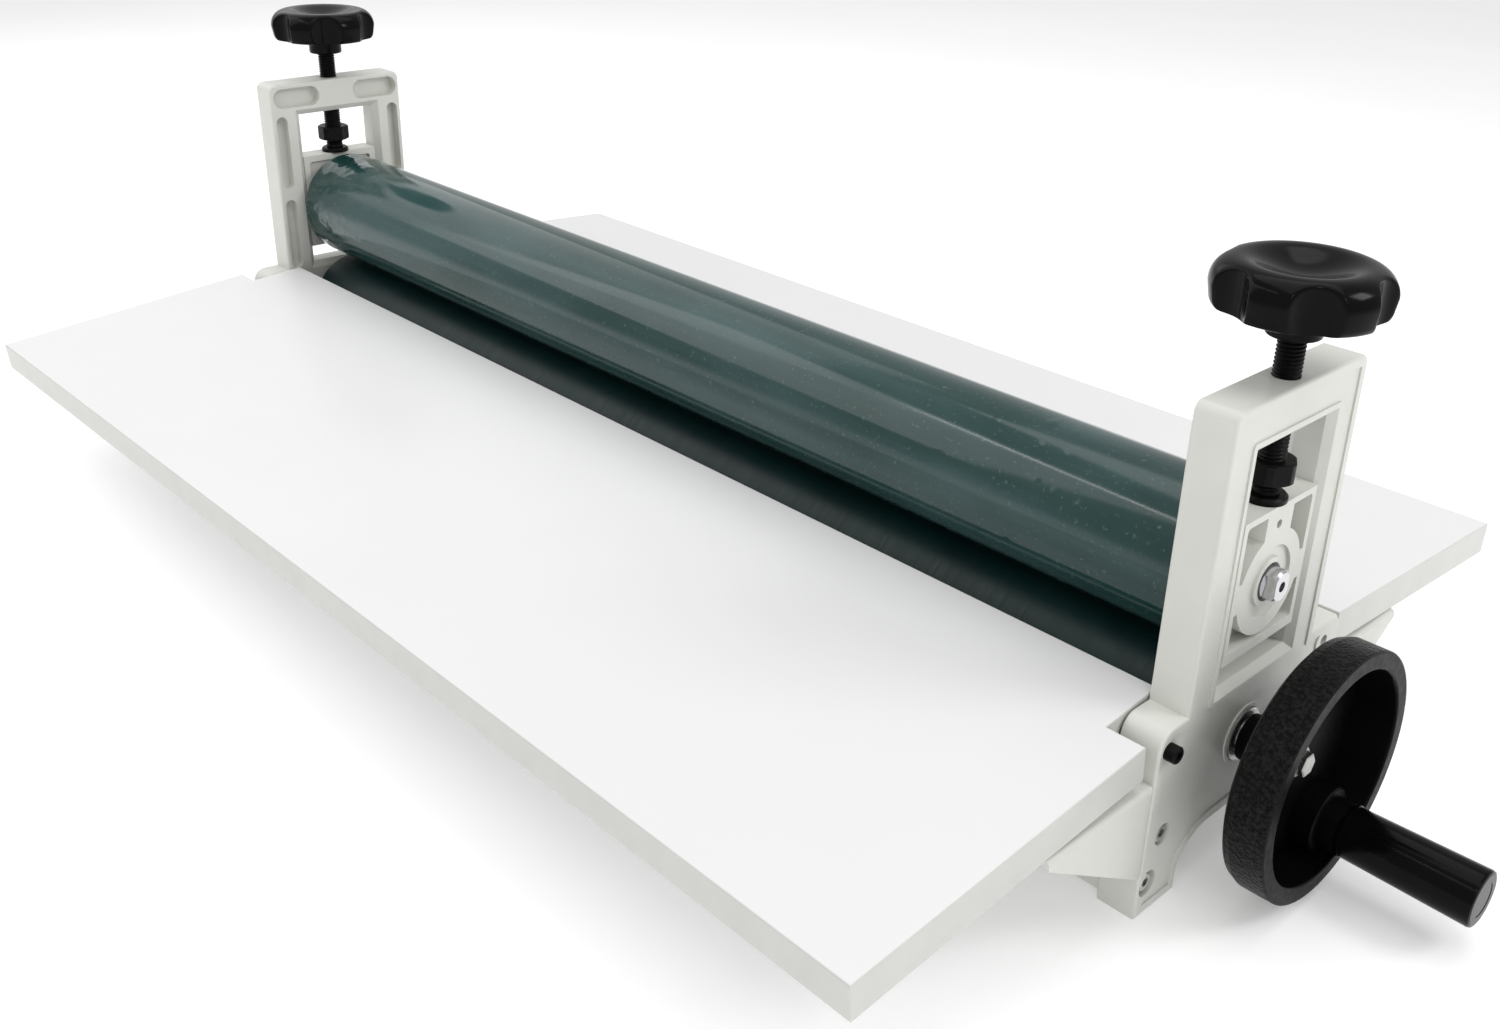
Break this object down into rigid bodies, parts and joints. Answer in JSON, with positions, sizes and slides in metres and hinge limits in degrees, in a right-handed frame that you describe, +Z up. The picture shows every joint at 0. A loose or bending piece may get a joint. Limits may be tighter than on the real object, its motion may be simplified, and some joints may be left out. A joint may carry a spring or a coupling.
{
  "type": "cold roll laminator",
  "caption": "Manual bench laminator: rubber nip rollers between cast side frames, screw-adjusted upper roller with lobed knobs, crank handwheel and folding feed tables.",
  "frame": {"origin": "on the bench, halfway between the side frames, directly under the lower roller's axis", "axes": "+X along the rollers towards the handwheel, -Y towards the operator, +Z up"},
  "size_m": [0.9339, 0.5048, 0.2812],
  "materials": {
    "frame_paint": "satin off-white paint on a casting",
    "sheet_paint": "satin off-white powder coat on steel",
    "zinc_steel": "zinc plated",
    "black_steel": "black oxide, satin",
    "laminate": "white laminate on fibreboard",
    "bright_steel": "turned and ground",
    "upper_rubber": "blue-green rubber under clear film",
    "lower_rubber": "very dark blue-green rubber",
    "wheel_plastic": "grained black",
    "knob_plastic": "gloss black"
  },
  "bodies": {
    "frame": {"right_side_frame": "frame_paint", "left_side_frame": "frame_paint", "front_tie_bar": "sheet_paint", "rear_tie_bar": "sheet_paint", "tie_bar_bolts": "zinc_steel", "front_right_bracket": "sheet_paint", "front_left_bracket": "sheet_paint", "rear_right_bracket": "sheet_paint", "rear_left_bracket": "sheet_paint", "bracket_screws": "zinc_steel", "right_lower_bush": "zinc_steel", "left_lower_bush": "zinc_steel", "front_hinge_bolts": "black_steel", "rear_hinge_pins": "zinc_steel"},
    "front_table": {"front_table": "laminate", "front_table_sleeves": "bright_steel"},
    "rear_table": {"rear_table": "laminate", "rear_table_sleeves": "bright_steel"},
    "lower_roller": {"lower_roller_tube": "bright_steel", "lower_roller_rubber": "lower_rubber", "lower_left_journal": "bright_steel", "lower_right_journal": "bright_steel", "handwheel": "wheel_plastic", "handwheel_key": "bright_steel", "handwheel_washer": "zinc_steel", "handwheel_bolt": "zinc_steel", "grip_spindle": "black_steel"},
    "crank_grip": {"crank_grip": "knob_plastic", "grip_cap": "knob_plastic"},
    "right_block": {"right_bearing_block": "frame_paint", "right_bearing_outer_ring": "bright_steel", "right_bearing_balls": "bright_steel", "right_block_set_screw": "black_steel", "right_thrust_washer": "black_steel"},
    "left_block": {"left_bearing_block": "frame_paint", "left_bearing_outer_ring": "bright_steel", "left_bearing_balls": "bright_steel", "left_block_set_screw": "black_steel", "left_thrust_washer": "black_steel"},
    "upper_roller": {"upper_roller_tube": "bright_steel", "upper_roller_rubber": "upper_rubber", "upper_right_journal": "bright_steel", "upper_left_journal": "bright_steel", "right_bearing_inner_ring": "bright_steel", "left_bearing_inner_ring": "bright_steel"},
    "right_screw": {"right_pressure_screw": "black_steel", "right_lock_nut": "black_steel", "right_knob": "knob_plastic"},
    "left_screw": {"left_pressure_screw": "black_steel", "left_lock_nut": "black_steel", "left_knob": "knob_plastic"}
  },
  "joints": [
    {"name": "front_table_fold", "type": "hinge", "parent": "frame", "child": "front_table", "pos_m": [0, -0.065, 0.086], "axis": [-1, 0, 0], "range_deg": [0, 95]},
    {"name": "rear_table_fold", "type": "hinge", "parent": "frame", "child": "rear_table", "pos_m": [0, 0.065, 0.086], "axis": [1, 0, 0], "range_deg": [0, 93.5]},
    {"name": "handwheel_turn", "type": "hinge", "parent": "frame", "child": "lower_roller", "pos_m": [0, 0, 0.0643], "axis": [1, 0, 0], "continuous": true},
    {"name": "grip_spin", "type": "hinge", "parent": "lower_roller", "child": "crank_grip", "pos_m": [0.446, 0.0193, 0.0282], "axis": [1, 0, 0], "continuous": true},
    {"name": "left_knob_turn", "type": "hinge", "parent": "left_block", "child": "left_screw", "pos_m": [-0.39, 0, 0.178], "axis": [0, 0, 1], "range_deg": [-555.9, 2469.1]},
    {"name": "right_knob_turn", "type": "hinge", "parent": "right_block", "child": "right_screw", "pos_m": [0.39, 0, 0.178], "axis": [0, 0, 1], "range_deg": [-555.9, 2469.1]},
    {"name": "left_block_lift", "type": "slide", "parent": "frame", "child": "left_block", "axis": [0, 0, 1], "range_m": [-0.0027, 0.012]},
    {"name": "right_block_lift", "type": "slide", "parent": "frame", "child": "right_block", "axis": [0, 0, 1], "range_m": [-0.00272, 0.01202]},
    {"name": "upper_roller_spin", "type": "hinge", "parent": "left_block", "child": "upper_roller", "pos_m": [0, 0, 0.1413], "axis": [1, 0, 0], "continuous": true}
  ],
  "couplings": [
    {"joint": "left_knob_turn", "follows": "left_block_lift", "rad_per_m": 3590.4},
    {"joint": "right_knob_turn", "follows": "left_block_lift", "rad_per_m": 3590.4},
    {"joint": "right_block_lift", "follows": "left_block_lift", "ratio": 1}
  ]
}
